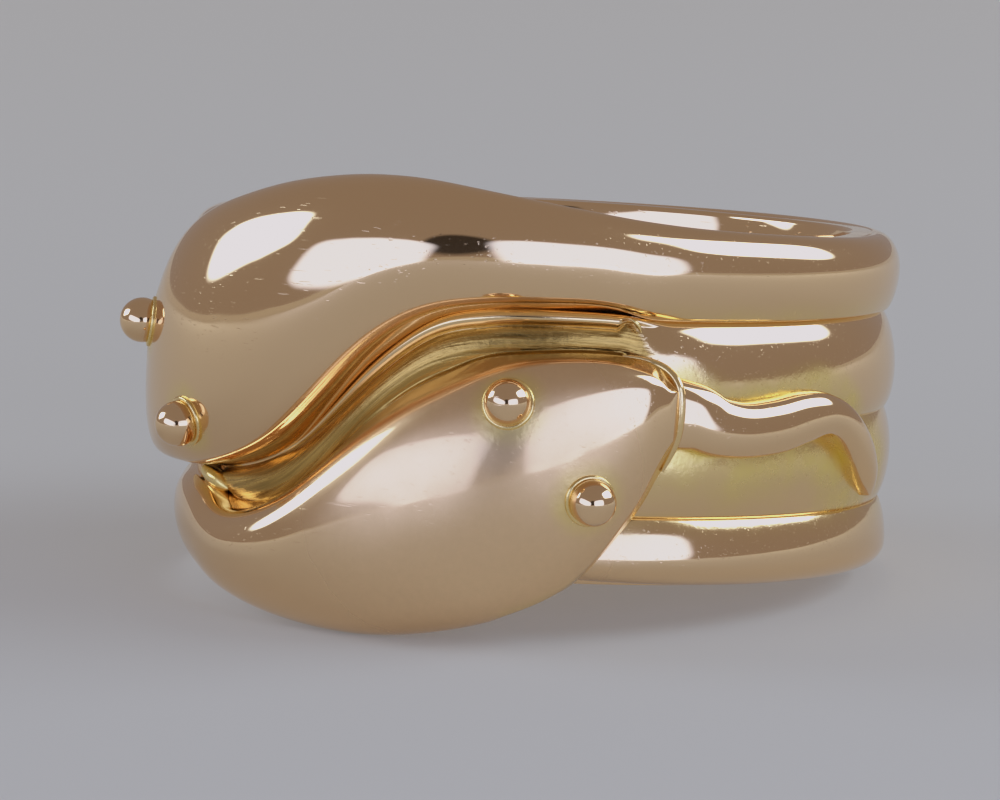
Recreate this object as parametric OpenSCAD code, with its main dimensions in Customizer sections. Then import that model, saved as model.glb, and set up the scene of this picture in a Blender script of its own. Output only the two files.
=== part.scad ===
// Double snake ring: two soldered snakes side by side, their heads passing each other at the front.
// Angles run round the finger hole, 0 at the front (-Y), positive towards +X. Sizes are in mm.

/* [Shank] */
// Radius of the finger hole
bore_r = 9.1; // [8.2:0.05:9.6]
// Thickness of the soldered band under the rows
band_t = 0.9; // [0.6:0.05:1.0]
// How far each row's crown stands above the band
row_h = 1.0; // [0.7:0.05:1.2]
// Comfort bevel on the two inner edges
comfort = 0.3; // [0.1:0.05:0.5]

/* [Heads] */
// Share of the crest's place between the outer edge and the edge at the gap
crest_share = 0.53; // [0.4:0.01:0.6]
// Hairline between one piece and the next
seam = 0.05; // [0.03:0.01:0.1]
// Degrees from one section of a head to the next
head_step = 2.25; // [1.5:0.25:4]

/* [Eyes and tails] */
// Radius of an eye ball
eye_r = 0.69; // [0.5:0.01:0.9]
// Share of the ball's radius that is sunk in the head
eye_sunk = 0.5; // [0.2:0.05:0.8]
// Height of a tail above the rows at its root
tail_h = 0.85; // [0.5:0.05:1.1]

/* [Rest] */
// How far the ring leans as it lies on the lower head and the back rim, in degrees
lean = 5.1; // [0:0.05:8]
// Direction round the ring that it leans towards, in degrees
lean_dir = 187.4; // [150:0.2:230]
// Height of the ring's middle above the surface it lies on
lift = 5.845; // [4:0.005:8]
// How far the ring's middle stands back from the middle of its base
set_back = 0.875; // [0:0.005:2]

/* [Hidden] */
$fn = 96;

band_r = bore_r + band_t;
crown_r = band_r + row_h;
// Heights of the rims and of the grooves between the four rows, from the top down
rim_top = 5.35;
groove_12 = 2.95;
groove_23 = 0.05;
groove_34 = -2.85;
rim_bottom = -4.95;
// Depth of the grooves between the rows, and how far one row runs on into the next below its surface
groove_d = 0.55;
row_lap = 0.3;
// Radius inside the band where the rows are rooted, and the step from the band's edge to a rim row
row_root = bore_r + band_t / 2;
rim_step = 0.05;
// Angles where the rows stop: under the two snouts, at the two necks and at the ribbon
snout_stop = 29.5;
upper_neck_end = 105;
lower_neck_end = -75;
ribbon_right = 49.2;
ribbon_left = -29.7;

// Sections of a head. Columns: angle, crown radius, outer edge height and radius, height where the
// outside tucks under, height and radius of the edge at the gap, height of that edge's foot
UPPER = [
    [-57.0, 11.16, 0.10, 11.12, 0.20, -0.80, 11.12, -0.90],
    [-55.2, 11.50, 0.30, 11.42, 0.85, -1.35, 11.42, -1.75],
    [-53.2, 12.02, 0.40, 11.92, 1.50, -1.50, 11.92, -2.15],
    [-51.5, 12.15, 1.00, 11.92, 2.00, -2.05, 11.90, -2.40],
    [-48.5, 12.28, 2.00, 11.90, 2.60, -2.38, 11.85, -2.60],
    [-45.0, 12.42, 3.00, 11.85, 3.50, -2.50, 11.80, -2.62],
    [-40.0, 12.60, 4.10, 11.70, 4.40, -2.52, 11.75, -2.62],
    [-35.0, 12.75, 4.90, 11.45, 4.95, -2.50, 11.72, -2.60],
    [-30.0, 12.85, 5.40, 11.20, 5.15, -2.48, 11.68, -2.55],
    [-20.0, 12.95, 6.03, 10.95, 5.10, -2.17, 11.60, -2.23],
    [-10.0, 12.95, 6.53, 10.90, 5.10, -1.44, 11.55, -1.48],
    [0.0, 12.85, 6.84, 10.90, 5.10, 0.22, 11.50, 0.22],
    [5.0, 12.73, 6.93, 10.90, 5.10, 1.32, 11.48, 1.22],
    [10.0, 12.60, 6.95, 10.90, 5.10, 2.21, 11.45, 2.01],
    [15.0, 12.42, 6.90, 10.87, 5.10, 2.84, 11.42, 2.67],
    [20.0, 12.20, 6.78, 10.83, 5.10, 3.19, 11.38, 3.02],
    [30.0, 11.80, 6.50, 10.72, 5.10, 3.42, 11.22, 3.20],
    [40.0, 11.50, 6.22, 10.58, 5.12, 3.46, 11.02, 3.18],
    [47.0, 11.32, 6.02, 10.48, 5.15, 3.30, 10.88, 3.15],
    [50.0, 11.25, 5.95, 10.44, 5.17, 3.02, 10.55, 3.00],
    [60.0, 11.12, 5.77, 10.36, 5.17, 3.00, 10.48, 3.00],
    [75.0, 11.04, 5.60, 10.28, 5.20, 3.00, 10.46, 3.00],
    [90.0, 11.01, 5.47, 10.22, 5.22, 3.00, 10.45, 3.00],
    [105.0, 11.00, 5.37, 10.20, 5.26, 3.00, 10.45, 3.00]
];
LOWER = [
    [-75.0, 11.00, -4.98, 10.20, -4.87, -2.90, 10.45, -2.90],
    [-60.0, 11.12, -5.10, 10.28, -4.84, -2.90, 10.48, -2.90],
    [-50.0, 11.25, -5.30, 10.40, -4.80, -2.91, 10.52, -2.91],
    [-40.0, 11.45, -5.60, 10.55, -4.75, -2.95, 10.58, -2.95],
    [-31.0, 11.67, -5.93, 10.66, -4.70, -3.05, 10.75, -3.00],
    [-28.0, 11.76, -6.04, 10.70, -4.70, -3.38, 11.00, -3.25],
    [-25.0, 11.87, -6.17, 10.73, -4.70, -3.58, 11.15, -3.45],
    [-20.0, 12.05, -6.33, 10.80, -4.70, -3.65, 11.25, -3.39],
    [-15.0, 12.22, -6.49, 10.85, -4.70, -3.49, 11.32, -3.04],
    [-10.0, 12.40, -6.62, 10.90, -4.70, -3.15, 11.38, -2.46],
    [-5.0, 12.56, -6.73, 10.90, -4.70, -2.64, 11.42, -1.72],
    [0.0, 12.70, -6.81, 10.90, -4.70, -1.90, 11.46, -0.91],
    [5.0, 12.82, -6.84, 10.90, -4.70, -1.04, 11.50, -0.12],
    [10.0, 12.90, -6.80, 10.90, -4.70, -0.25, 11.55, 0.57],
    [15.0, 12.95, -6.68, 10.92, -4.70, 0.42, 11.60, 1.17],
    [20.0, 12.95, -6.50, 10.96, -4.70, 0.95, 11.64, 1.55],
    [25.0, 12.91, -6.26, 11.03, -4.70, 1.44, 11.67, 1.76],
    [30.0, 12.85, -5.93, 11.15, -4.80, 1.76, 11.70, 1.88],
    [35.0, 12.74, -5.46, 11.38, -5.40, 1.90, 11.74, 1.98],
    [40.0, 12.60, -4.72, 11.65, -4.95, 1.94, 11.78, 2.04],
    [45.0, 12.42, -3.45, 11.82, -3.85, 1.86, 11.82, 2.02],
    [48.5, 12.28, -2.35, 11.88, -3.00, 1.66, 11.86, 1.95],
    [51.5, 12.12, -1.15, 11.92, -2.25, 1.36, 11.90, 1.80],
    [53.2, 12.00, -0.55, 11.92, -1.65, 1.05, 11.92, 1.65],
    [55.2, 11.50, -0.15, 11.42, -0.90, 1.05, 11.42, 1.42],
    [57.0, 11.16, 0.10, 11.12, 0.00, 0.80, 11.12, 0.95]
];

// Course of a tail on top of the rows. Columns: angle, height, half width, share of the root's height
TAIL = [
    [58.4, 0.22, 1.00, 1.00],
    [61.2, -0.03, 0.93, 1.00],
    [66.4, -0.15, 0.86, 0.99],
    [72.2, -0.05, 0.85, 0.97],
    [77.5, 0.16, 0.80, 0.94],
    [82.0, 0.26, 0.70, 0.90],
    [85.6, 0.15, 0.62, 0.86],
    [89.4, -0.21, 0.61, 0.83],
    [93.6, -0.89, 0.64, 0.80],
    [97.0, -1.62, 0.60, 0.74],
    [99.6, -2.28, 0.42, 0.60],
    [101.2, -2.78, 0.14, 0.30]
];

// Places of the eyes on the heads: angle and height
UPPER_EYES = [[-23.6, -1.02], [-39.6, 1.66]];
LOWER_EYES = [[29.4, 0.58], [41.1, -2.18]];

// A point on the ring from its angle, radius and height
function on_ring(a, r, z) = [r * sin(a), -r * cos(a), z];

// Smooth curve through one column of a table, by its first column
function last_before(tab, t, i = 0) = i >= len(tab) - 2 || tab[i + 1][0] > t ? i : last_before(tab, t, i + 1);
function slope(tab, c, i) =
    let (a = max(i - 1, 0), b = min(i + 1, len(tab) - 1)) (tab[b][c] - tab[a][c]) / (tab[b][0] - tab[a][0]);
function curve(tab, c, t) =
    let (i = last_before(tab, t), w = tab[i + 1][0] - tab[i][0], u = (t - tab[i][0]) / w,
         p = tab[i][c], q = tab[i + 1][c], m = slope(tab, c, i) * w, n = slope(tab, c, i + 1) * w)
    p + u * m + u * u * (3 * (q - p) - 2 * m - n) + u * u * u * (2 * (p - q) + m + n);
function section(tab, t) = [for (c = [1:7]) curve(tab, c, t)];

// A closed tube through rings of points, with flat ends fanned from each ring's last point
module loft(rings) {
    n = len(rings[0]);
    m = len(rings);
    top = (m - 1) * n;
    polyhedron(
        points = [for (ring = rings) each ring],
        faces = concat(
            [for (j = [0:n - 3]) [n - 1, j, j + 1]],
            [for (i = [0:m - 2], j = [0:n - 1])
                each [[i * n + j, (i + 1) * n + j, i * n + (j + 1) % n],
                      [i * n + (j + 1) % n, (i + 1) * n + j, (i + 1) * n + (j + 1) % n]]],
            [for (j = [0:n - 3]) [top + n - 1, top + j + 1, top + j]]));
}

// Snouts lie on top of the rows, and the rest of a head goes down to the band
function base_r(on_rows) = on_rows ? crown_r + seam : band_r + seam;

// Angle of the domes' arc at which they end in the edge at the gap
edge_a = 10;

// Radius and height of the points of one head section, from the outside's tuck over the crest to the foot
function head_profile(s, on_rows) =
    let (crown = s[0], out_z = s[1], out_r = s[2], tuck_z = s[3], edge_z = s[4], edge_r = s[5], foot_z = s[6],
         crest_z = out_z + (edge_z - out_z) * crest_share, base = base_r(on_rows), floor_r = max(base, edge_r - 0.75))
    concat(
        [for (f = [0:30:60]) [base + (out_r - base) * sin(f),
            on_rows ? tuck_z + (out_z - tuck_z) * sin(f) : out_z + (tuck_z - out_z) * (1 - sin(f)) ^ 2]],
        [for (f = [0:10:80]) [out_r + (crown - out_r) * sin(f), crest_z + (out_z - crest_z) * cos(f)]],
        [for (f = [90:-10:edge_a]) [edge_r + (crown - edge_r) * (sin(f) - sin(edge_a)) / (1 - sin(edge_a)),
            crest_z + (edge_z - crest_z) * cos(f) / cos(edge_a)]],
        [[floor_r, foot_z], [base, foot_z + (out_z > foot_z ? 0.01 : -0.01)]]);

function head_ring(tab, t, on_rows) = [for (p = head_profile(section(tab, t), on_rows)) on_ring(t, p[0], p[1])];

// Radius of a head's surface at an angle and height
function dome_r(tab, t, z) =
    let (s = section(tab, t), crest_z = s[1] + (s[4] - s[1]) * crest_share,
         outside = (z - crest_z) * (s[1] - crest_z) > 0, to = (z - crest_z) / ((outside ? s[1] : s[4]) - crest_z))
    outside ? s[2] + (s[0] - s[2]) * sqrt(1 - to ^ 2)
            : s[5] + (s[0] - s[5]) * (sqrt(1 - (to * cos(edge_a)) ^ 2) - sin(edge_a)) / (1 - sin(edge_a));
function unit(v) = v / norm(v);
function dome_normal(tab, t, z) =
    let (d = 0.5, e = 0.1,
         along = on_ring(t + d, dome_r(tab, t + d, z), z) - on_ring(t - d, dome_r(tab, t - d, z), z),
         up = on_ring(t, dome_r(tab, t, z + e), z + e) - on_ring(t, dome_r(tab, t, z - e), z - e))
    unit(cross(along, up));

// Angles of a head's sections from one end to the other, with the short step where it drops off the rows
function stations(a, b) = let (n = ceil(abs(b - a) / head_step)) [for (i = [0:n]) a + (b - a) * i / n];

// Lays the whole ring down as it rests
module at_rest() {
    translate([0, set_back, lift]) rotate([0, 0, lean_dir]) rotate([lean, 0, 0]) rotate([0, 0, -lean_dir]) children();
}

// Turns a shape that starts at +X through the angles from a to b
module sweep_round(a, b) {
    rotate([0, 0, a - 90]) rotate_extrude(angle = b - a) children();
}

// Outline of a row between two heights whose crown is an arc through its grooves. It runs on into
// the next row by the overlaps given.
module inner_row(low, high, under, over) {
    half = (high - low) / 2;
    arc_r = (half ^ 2 + groove_d ^ 2) / (2 * groove_d);
    intersection() {
        translate([crown_r - arc_r, (low + high) / 2]) circle(arc_r);
        translate([row_root, low - under]) square([2 * row_h + band_t, high - low + under + over]);
    }
}

// Outline of a rim row with a rounder arc, cut flat a little inside the band's edge
module rim_row(low, high, up, arc_r) {
    rim_cut = 0.15;
    intersection() {
        translate([crown_r - arc_r, up ? high + rim_cut - rim_step - arc_r : low - rim_cut + rim_step + arc_r])
            circle(arc_r);
        translate([row_root, up ? low - row_lap : low + rim_step])
            square([2 * row_h + band_t, high - low - rim_step + row_lap]);
    }
}

module shank() {
    color([0.80, 0.61, 0.50]) at_rest() union() {
        rotate_extrude() polygon([
            [bore_r, rim_bottom + comfort], [bore_r + comfort, rim_bottom], [band_r, rim_bottom],
            [band_r, rim_top], [bore_r + comfort, rim_top], [bore_r, rim_top - comfort]]);
        sweep_round(upper_neck_end + 0.4, 360 - snout_stop) rim_row(groove_12, rim_top, true, 1.35);
        sweep_round(ribbon_right + 0.4, 359.7 - snout_stop) inner_row(groove_23, groove_12, row_lap, 0);
        sweep_round(snout_stop + 0.3, 359.4 - snout_stop) inner_row(groove_34, groove_23, 0, row_lap);
        sweep_round(snout_stop, 359.6 + lower_neck_end) rim_row(rim_bottom, groove_34, false, 1.2);
    }
}

module upper_head() {
    turn = -snout_stop + 0.3;
    color([0.80, 0.60, 0.49]) at_rest() loft(concat(
        [for (t = stations(UPPER[0][0], turn)) head_ring(UPPER, t, true)],
        [for (t = stations(turn + 0.1, upper_neck_end)) head_ring(UPPER, t, false)]));
}

module lower_head() {
    turn = snout_stop - 0.3;
    color([0.80, 0.60, 0.49]) at_rest() loft(concat(
        [for (t = stations(LOWER[len(LOWER) - 1][0], turn)) head_ring(LOWER, t, true)],
        [for (t = stations(turn - 0.1, lower_neck_end)) head_ring(LOWER, t, false)]));
}

// The strand between the heads: a ledge along the upper head, a crease, and a rounded satin strip
function ribbon_ring(t) =
    let (s = section(UPPER, t), l = section(LOWER, t), high = s[6] - seam, low = l[6] + seam,
         crease = high - min(0.42, 0.3 * (high - low)), floor_r = crown_r - 0.45)
    [on_ring(t, crown_r - 0.2, high), on_ring(t, floor_r, crease),
     for (f = [0.2:0.2:0.8]) on_ring(t, floor_r + 0.35 * sin(180 * f), crease + (low - crease) * f),
     on_ring(t, floor_r, low), on_ring(t, band_r + seam, low), on_ring(t, band_r + seam, high)];

module middle_ribbon() {
    color([0.80, 0.72, 0.42]) at_rest() loft([for (t = stations(ribbon_left, ribbon_right)) ribbon_ring(t)]);
}

// One section of a tail, square to its course on the rows
function tail_ring(t) =
    let (r = crown_r + seam, d = 0.4, z = curve(TAIL, 1, t), half = curve(TAIL, 2, t), h = tail_h * curve(TAIL, 3, t),
         along = unit(on_ring(t + d, r, curve(TAIL, 1, t + d)) - on_ring(t - d, r, curve(TAIL, 1, t - d))),
         out = on_ring(t, 1, 0), across = unit(cross(out, along)))
    [for (f = [0:15:180]) on_ring(t, r, z) + across * half * cos(f) + out * h * sin(f) ^ 0.8];

module tail() {
    n = 40;
    first = TAIL[0][0];
    last = TAIL[len(TAIL) - 1][0];
    loft([for (i = [0:n]) tail_ring(first + (last - first) * i / n)]);
}

module upper_tail() {
    color([0.80, 0.61, 0.50]) at_rest() tail();
}

// The lower snake's tail lies behind the upper snout, half a turn about the front from the other
module lower_tail() {
    color([0.80, 0.61, 0.50]) at_rest() rotate([0, 180, 0]) tail();
}

// A ball flattened underneath, standing on the head along its surface's normal
module eye(tab, place) {
    n = dome_normal(tab, place[0], place[1]);
    color([0.82, 0.66, 0.56]) at_rest()
        translate(on_ring(place[0], dome_r(tab, place[0], place[1]), place[1]) + n * seam)
        rotate([0, acos(n[2]), atan2(n[1], n[0])])
        intersection() {
            translate([0, 0, eye_r * (1 - eye_sunk)]) sphere(eye_r);
            cylinder(h = 3 * eye_r, r = 2 * eye_r);
        }
}

module upper_eye_front() { eye(UPPER, UPPER_EYES[1]); }
module upper_eye_back() { eye(UPPER, UPPER_EYES[0]); }
module lower_eye_front() { eye(LOWER, LOWER_EYES[1]); }
module lower_eye_back() { eye(LOWER, LOWER_EYES[0]); }

shank();
upper_head();
lower_head();
middle_ribbon();
upper_tail();
lower_tail();
upper_eye_front();
upper_eye_back();
lower_eye_front();
lower_eye_back();
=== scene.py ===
import bpy
import math
import numpy as np
from mathutils import Matrix, Vector


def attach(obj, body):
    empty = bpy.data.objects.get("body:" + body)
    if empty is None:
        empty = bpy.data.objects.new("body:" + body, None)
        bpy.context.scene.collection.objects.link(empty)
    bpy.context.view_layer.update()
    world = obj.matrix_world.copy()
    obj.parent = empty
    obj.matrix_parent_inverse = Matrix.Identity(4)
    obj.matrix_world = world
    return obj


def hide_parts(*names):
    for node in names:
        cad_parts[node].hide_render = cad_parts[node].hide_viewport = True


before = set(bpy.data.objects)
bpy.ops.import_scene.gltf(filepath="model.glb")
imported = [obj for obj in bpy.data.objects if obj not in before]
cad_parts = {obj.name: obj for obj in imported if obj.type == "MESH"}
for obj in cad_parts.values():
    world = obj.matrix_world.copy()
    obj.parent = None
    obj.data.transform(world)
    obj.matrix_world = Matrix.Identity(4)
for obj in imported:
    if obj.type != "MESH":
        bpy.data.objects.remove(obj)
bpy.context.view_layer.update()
print("frame loaded")

# Angles run round the finger hole in degrees, 0 at the front between the heads, positive to the right.
# Radii are from the finger hole's axis and heights along it, in millimetres.
ringRest = {"lean": 5.1, "leanTowards": 187.4, "lift": 5.845, "setBack": 0.875}
ringBody = {"bandRadius": 9.98, "crownRadius": 11.0, "hiddenRadius": 9.7, "grooveDepth": 0.34,
            "grooveHeights": (2.95, 0.05, -2.85), "rowLean": 0.1, "rowStep": 1.5, "mmPerDegree": 0.192,
            "crownCurve": ((0.8, 2), (0.2, 8))}  # shares and powers of the fall from a crown to its grooves
smoothAngle = 50  # edges sharper than this stay sharp
weldDistance = 1e-7  # metres
pastEnd = 0.1  # degrees, so that a row of stations has its last one


def restMatrix():
    turn = Matrix.Rotation(math.radians(ringRest["leanTowards"]), 4, "Z")
    lean = Matrix.Rotation(math.radians(ringRest["lean"]), 4, "X")
    place = Matrix.Translation((0, ringRest["setBack"], ringRest["lift"]))
    return Matrix.Scale(0.001, 4) @ place @ turn @ lean @ turn.inverted()


atRest = np.array(restMatrix())


def onRing(angle, radius, height):
    a = np.radians(angle)
    return np.stack([radius * np.sin(a), -radius * np.cos(a), height + 0 * a], -1)


def placed(points):  # ring millimetres to metres as the ring lies
    return points @ atRest[:3, :3].T + atRest[:3, 3]


def unit(vectors):
    return vectors / np.linalg.norm(vectors, axis=-1, keepdims=True)


def monotone(xs, ys, at):  # curve through the points that never overshoots them
    xs, ys = np.array(xs, float), np.array(ys, float)
    h = np.diff(xs)
    d = np.diff(ys) / h
    m = np.zeros(len(xs))
    for i in range(1, len(xs) - 1):
        if d[i - 1] * d[i] > 0:
            a, b = 2 * h[i] + h[i - 1], h[i] + 2 * h[i - 1]
            m[i] = (a + b) / (a / d[i - 1] + b / d[i])
    m[0], m[-1] = d[0], d[-1]
    i = np.clip(np.searchsorted(xs, at) - 1, 0, len(xs) - 2)
    t = (at - xs[i]) / h[i]
    inside = (ys[i] * (1 + 2 * t) * (1 - t) ** 2 + m[i] * h[i] * t * (1 - t) ** 2
              + ys[i + 1] * t * t * (3 - 2 * t) + m[i + 1] * h[i] * t * t * (t - 1))
    inside = np.where(at < xs[0], ys[0] + (at - xs[0]) * m[0], inside)
    return np.where(at > xs[-1], ys[-1] + (at - xs[-1]) * m[-1], inside)


def softened(xs, ys, at, soft):  # the same curve with its bends eased over the length soft
    step, beyond = 0.1, 12
    fine = np.arange(min(xs) - beyond, max(xs) + beyond, step)
    values = monotone(xs, ys, fine)
    half = int(4 * soft / step)
    reach = np.arange(-half, half + 1) * step
    weights = np.exp(-0.5 * (reach / soft) ** 2)
    padded = np.pad(values, half, mode="reflect", reflect_type="odd")
    return np.interp(at, fine, np.convolve(padded, weights / weights.sum(), mode="valid"))


def eased(start, end, x):  # 0 before start, 1 past end
    t = np.clip((x - start) / (end - start), 0, 1)
    return t * t * (3 - 2 * t)


# A sheet whose rows become the sections, rolled up and closed. The marks are wear and tarnish, painted on its
# points
def loftPiece(name, sections, closed=True, **marks):
    rows, columns = sections.shape[:2]
    bpy.ops.object.select_all(action="DESELECT")
    bpy.ops.mesh.primitive_grid_add(x_subdivisions=columns, y_subdivisions=rows - 1, size=1)
    piece = bpy.context.object
    piece.name = name
    mesh = piece.data
    flat = np.zeros(len(mesh.vertices) * 3)
    mesh.vertices.foreach_get("co", flat)
    flat = flat.reshape(-1, 3)
    column = np.rint((flat[:, 0] + 0.5) * columns).astype(int) % columns
    row = np.rint((flat[:, 1] + 0.5) * (rows - 1)).astype(int)
    mesh.vertices.foreach_set("co", placed(sections[row, column]).astype(np.float32).ravel())
    for mark, values in marks.items():
        vector = np.ndim(values) == 3
        layer = mesh.attributes.new(mark, "FLOAT_VECTOR" if vector else "FLOAT", "POINT")
        values = np.broadcast_to(values, sections.shape[:3 if vector else 2])[row, column]
        layer.data.foreach_set("vector" if vector else "value", values.astype(np.float32).ravel())
    bpy.ops.object.mode_set(mode="EDIT")
    bpy.ops.mesh.select_all(action="SELECT")
    bpy.ops.mesh.remove_doubles(threshold=weldDistance)
    if closed:
        bpy.ops.mesh.fill_holes(sides=0)
        bpy.ops.mesh.select_all(action="SELECT")
    bpy.ops.mesh.normals_make_consistent(inside=False)
    bpy.ops.object.mode_set(mode="OBJECT")
    bpy.ops.object.shade_smooth_by_angle(angle=math.radians(smoothAngle))
    return piece


def rounder(profile, passes, first, last):  # eases the corners of each section between two of its points
    for _ in range(passes):
        middle = (profile[:, :-2] + 2 * profile[:, 1:-1] + profile[:, 2:]) / 4
        profile[:, first:last] = middle[:, first - 1:last - 1]
    return profile


# Sections of the heads. Columns: angle, crown radius, outer edge height and radius, height where the outside
# tucks under, height and radius of the edge at the gap, height of that edge's foot, slant of the dome at the
# outer edge
upperTable = [
    [-57.0, 11.08, 0.10, 11.05, 0.12, -0.85, 11.05, -0.90, 30],
    [-55.2, 11.50, 0.30, 11.42, 0.85, -1.35, 11.42, -1.75, 30],
    [-52.7, 12.00, 0.40, 11.92, 1.50, -1.50, 11.92, -2.15, 30],
    [-51.1, 12.13, 1.00, 11.92, 2.00, -2.05, 11.90, -2.40, 30],
    [-48.5, 12.28, 2.00, 11.90, 2.60, -2.38, 11.85, -2.60, 28],
    [-45.0, 12.42, 3.00, 11.85, 3.50, -2.50, 11.80, -2.62, 24],
    [-40.0, 12.60, 4.10, 11.70, 4.40, -2.52, 11.75, -2.62, 18],
    [-35.0, 12.75, 4.90, 11.45, 4.95, -2.50, 11.72, -2.60, 10],
    [-30.0, 12.85, 5.40, 11.20, 5.15, -2.48, 11.68, -2.55, 4],
    [-20.0, 12.95, 6.03, 10.95, 5.10, -2.17, 11.60, -2.23, 0],
    [-10.0, 12.95, 6.53, 10.90, 5.10, -1.44, 11.55, -1.48, 0],
    [0.0, 12.85, 6.84, 10.90, 5.10, 0.22, 11.50, 0.22, 0],
    [5.0, 12.73, 6.93, 10.90, 5.10, 1.32, 11.48, 1.22, 0],
    [10.0, 12.60, 6.95, 10.90, 5.10, 2.21, 11.45, 2.01, 0],
    [15.0, 12.42, 6.90, 10.87, 5.10, 2.84, 11.42, 2.67, 0],
    [20.0, 12.20, 6.78, 10.83, 5.10, 3.19, 11.38, 3.02, 0],
    [30.0, 11.80, 6.50, 10.72, 5.10, 3.42, 11.22, 3.20, 0],
    [40.0, 11.50, 6.22, 10.58, 5.12, 3.46, 11.02, 3.18, 0],
    [47.0, 11.32, 6.02, 10.48, 5.15, 3.30, 10.88, 3.15, 0],
    [50.0, 11.25, 5.95, 10.44, 5.17, 3.02, 10.55, 3.00, 0],
    [60.0, 11.12, 5.77, 10.36, 5.17, 3.00, 10.48, 3.00, 0],
    [75.0, 11.04, 5.60, 10.28, 5.20, 3.00, 10.46, 3.00, 0],
    [90.0, 11.01, 5.47, 10.22, 5.22, 3.00, 10.45, 3.00, 0],
    [105.0, 11.00, 5.37, 10.20, 5.26, 3.00, 10.45, 3.00, 0],
    [125.0, 11.00, 5.33, 10.20, 5.24, 2.98, 10.50, 2.98, 0],
    [200.0, 11.00, 5.15, 10.20, 5.06, 2.98, 10.50, 2.98, 0],
    [280.0, 11.00, 5.10, 10.20, 5.01, 2.98, 10.50, 2.98, 0],
    [330.0, 10.93, 4.80, 10.20, 4.76, 2.98, 10.50, 2.98, 0],
    [334.0, 10.60, 4.50, 10.20, 4.46, 3.00, 10.40, 3.00, 0],
]
lowerTable = [
    [57.0, 11.08, 0.10, 11.05, 0.05, 0.85, 11.05, 0.90, 30],
    [55.2, 11.50, -0.15, 11.42, -0.90, 1.05, 11.42, 1.42, 30],
    [52.7, 12.00, -0.55, 11.92, -1.65, 1.05, 11.92, 1.65, 30],
    [51.1, 12.12, -1.15, 11.92, -2.25, 1.36, 11.90, 1.80, 30],
    [48.5, 12.28, -2.35, 11.88, -3.00, 1.66, 11.86, 1.95, 28],
    [45.0, 12.42, -3.45, 11.82, -3.85, 1.86, 11.82, 2.02, 24],
    [40.0, 12.60, -4.72, 11.65, -4.95, 1.94, 11.78, 2.04, 18],
    [35.0, 12.74, -5.46, 11.38, -5.40, 1.90, 11.74, 1.98, 10],
    [30.0, 12.85, -5.93, 11.15, -4.80, 1.76, 11.70, 1.88, 4],
    [25.0, 12.91, -6.26, 11.03, -4.70, 1.44, 11.67, 1.76, 0],
    [20.0, 12.95, -6.50, 10.96, -4.70, 0.95, 11.64, 1.28, 0],
    [15.0, 12.95, -6.68, 10.92, -4.70, 0.42, 11.60, 0.83, 0],
    [10.0, 12.90, -6.80, 10.90, -4.70, -0.25, 11.55, 0.20, 0],
    [5.0, 12.82, -6.84, 10.90, -4.70, -1.04, 11.50, -0.53, 0],
    [0.0, 12.70, -6.81, 10.90, -4.70, -1.90, 11.46, -1.36, 0],
    [-5.0, 12.56, -6.73, 10.90, -4.70, -2.64, 11.42, -2.13, 0],
    [-10.0, 12.40, -6.62, 10.90, -4.70, -3.15, 11.38, -2.77, 0],
    [-15.0, 12.22, -6.49, 10.85, -4.70, -3.49, 11.32, -3.24, 0],
    [-20.0, 12.05, -6.33, 10.80, -4.70, -3.65, 11.25, -3.39, 0],
    [-25.0, 11.87, -6.17, 10.73, -4.70, -3.58, 11.15, -3.45, 0],
    [-28.0, 11.76, -6.04, 10.70, -4.70, -3.38, 11.00, -3.25, 0],
    [-31.0, 11.67, -5.93, 10.66, -4.70, -3.05, 10.75, -3.00, 0],
    [-40.0, 11.45, -5.60, 10.55, -4.75, -2.95, 10.58, -2.95, 0],
    [-50.0, 11.25, -5.30, 10.40, -4.80, -2.91, 10.52, -2.91, 0],
    [-60.0, 11.12, -5.10, 10.28, -4.84, -2.90, 10.48, -2.90, 0],
    [-75.0, 11.00, -4.98, 10.20, -4.87, -2.90, 10.45, -2.90, 0],
    [-200.0, 11.00, -4.95, 10.20, -4.86, -2.88, 10.50, -2.88, 0],
    [-280.0, 11.00, -4.95, 10.20, -4.86, -2.88, 10.50, -2.88, 0],
    [-330.0, 10.93, -4.70, 10.20, -4.66, -2.88, 10.50, -2.88, 0],
    [-334.0, 10.60, -4.40, 10.20, -4.36, -2.90, 10.40, -2.90, 0],
]
# Shares are of the width from the outer edge to the edge at the gap, slants are in degrees
headShape = {"crestRadius": 12.9, "crestShare": 0.53, "neckShare": 0.06, "backShare": 0.14, "gapSlant": 10,
             "rowSlant": 45, "fullness": 0.8, "flankDepth": 0.75, "neckRise": 0.2, "rowSink": 0.06,
             "bandSink": 0.05, "flankSeat": 0.02, "footTurn": 0.01}
# Where round the ring things change, as angles from the front towards the snout or away from it
headPlaces = {"rowsUnder": (28.0, 30.5), "snout": (46, 50), "neck": (43, 58), "neckCrest": (45, 60),
              "back": (180, 250)}
headCurves = {"soft": 2.2, "snoutSoft": 0.45}
headPoints = {"wall": 13, "outer": 29, "inner": 32, "flank": 9}
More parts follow.
